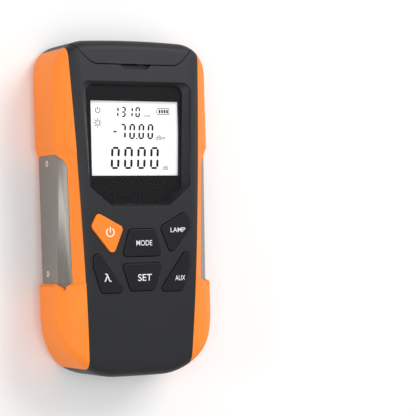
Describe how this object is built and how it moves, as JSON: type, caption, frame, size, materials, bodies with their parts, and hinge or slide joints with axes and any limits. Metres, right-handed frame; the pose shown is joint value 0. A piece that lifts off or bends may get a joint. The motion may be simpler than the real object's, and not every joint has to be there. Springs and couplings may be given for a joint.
{
  "type": "optical power meter",
  "caption": "Hand-held meter with a recessed display, sculpted keys, rubber side grips, a hinged port cap, a folding stand and a battery door.",
  "frame": {"origin": "middle of the back face that the meter lies on, at the centre of its bounding box", "axes": "+X to the right of the display, +Y towards the capped port end, +Z out of the display side"},
  "size_m": [0.0978, 0.1869, 0.047],
  "materials": {
    "shell_plastic": "fine matt moulded plastic",
    "stand_plastic": "fine matt moulded plastic",
    "panel_plastic": "matt moulded plastic",
    "grip_rubber": "soft matt over-moulded rubber",
    "power_key_plastic": "satin moulded key",
    "key_rubber": "satin moulded key",
    "brushed_plate": "brushed lengthways, warm grey",
    "screw_steel": "bright zinc plated",
    "port_metal": "nickel plated",
    "sleeve_metal": "bright bronze",
    "sensor_can": "metal can",
    "lamp_lens": "clear moulded lens",
    "display_window": "clear gloss window with a dark border",
    "lcd_glass": "pale reflective display glass",
    "backlight_panel": "white light guide",
    "circuit_board": "green solder resist",
    "chip_package": "black moulded package",
    "cell_jacket": "plain dark jacket"
  },
  "bodies": {
    "housing": {"front_shell": "shell_plastic", "back_shell": "shell_plastic", "left_grip": "grip_rubber", "right_grip": "grip_rubber", "left_side_plate": "brushed_plate", "right_side_plate": "brushed_plate", "side_plate_screws": "screw_steel", "case_screws": "screw_steel", "board_screws": "screw_steel", "cap_hinge_pin": "screw_steel", "port_panel": "panel_plastic", "port_barrel": "port_metal", "port_nut": "port_metal", "ferrule_sleeve": "sleeve_metal", "photodiode": "sensor_can", "lamp_led": "lamp_lens", "display_lens": "display_window", "lcd_glass": "lcd_glass", "backlight": "backlight_panel", "lcd_frame": "panel_plastic", "main_board": "circuit_board", "charge_board": "circuit_board", "processor": "chip_package", "usb_socket": "port_metal", "key_switch_1": "chip_package", "key_switch_2": "chip_package", "key_switch_3": "chip_package", "key_switch_4": "chip_package", "key_switch_5": "chip_package", "key_switch_6": "chip_package", "battery_cell_1": "cell_jacket", "battery_cell_2": "cell_jacket", "battery_cell_3": "cell_jacket", "battery_contact_1": "sleeve_metal", "battery_contact_2": "sleeve_metal", "battery_contact_3": "sleeve_metal", "battery_contact_4": "sleeve_metal"},
    "cap": {"top_cap": "shell_plastic"},
    "stand": {"kickstand": "stand_plastic"},
    "door": {"battery_door": "stand_plastic"},
    "plug": {"usb_plug": "grip_rubber"},
    "power_button": {"power_key": "power_key_plastic"},
    "unit_button": {"unit_key": "key_rubber"},
    "light_button": {"light_key": "key_rubber"},
    "wavelength_button": {"wavelength_key": "key_rubber"},
    "reference_button": {"reference_key": "key_rubber"},
    "lamp_button": {"lamp_key": "key_rubber"}
  },
  "joints": [
    {"name": "cap_hinge", "type": "hinge", "parent": "housing", "child": "cap", "pos_m": [0, 0.07505, 0.0019], "axis": [-1, 0, 0], "range_deg": [0, 95]},
    {"name": "stand_hinge", "type": "hinge", "parent": "housing", "child": "stand", "pos_m": [0, 0.06835, 0.0013], "axis": [1, 0, 0], "range_deg": [0, 55]},
    {"name": "door_tilt", "type": "hinge", "parent": "housing", "child": "door", "pos_m": [0, 0.00395, 0], "axis": [1, 0, 0], "range_deg": [0, 40]},
    {"name": "plug_pull", "type": "slide", "parent": "housing", "child": "plug", "axis": [1, 0, 0], "range_m": [0, 0.008]},
    {"name": "power_press", "type": "slide", "parent": "housing", "child": "power_button", "axis": [0, 0, -1], "range_m": [0, 0.0009], "stiffness_N_per_m": 400, "springref_m": -0.001},
    {"name": "unit_press", "type": "slide", "parent": "housing", "child": "unit_button", "axis": [0, 0, -1], "range_m": [0, 0.0009], "stiffness_N_per_m": 400, "springref_m": -0.001},
    {"name": "light_press", "type": "slide", "parent": "housing", "child": "light_button", "axis": [0, 0, -1], "range_m": [0, 0.0009], "stiffness_N_per_m": 400, "springref_m": -0.001},
    {"name": "wavelength_press", "type": "slide", "parent": "housing", "child": "wavelength_button", "axis": [0, 0, -1], "range_m": [0, 0.0009], "stiffness_N_per_m": 400, "springref_m": -0.001},
    {"name": "reference_press", "type": "slide", "parent": "housing", "child": "reference_button", "axis": [0, 0, -1], "range_m": [0, 0.0009], "stiffness_N_per_m": 400, "springref_m": -0.001},
    {"name": "lamp_press", "type": "slide", "parent": "housing", "child": "lamp_button", "axis": [0, 0, -1], "range_m": [0, 0.0009], "stiffness_N_per_m": 400, "springref_m": -0.001}
  ]
}
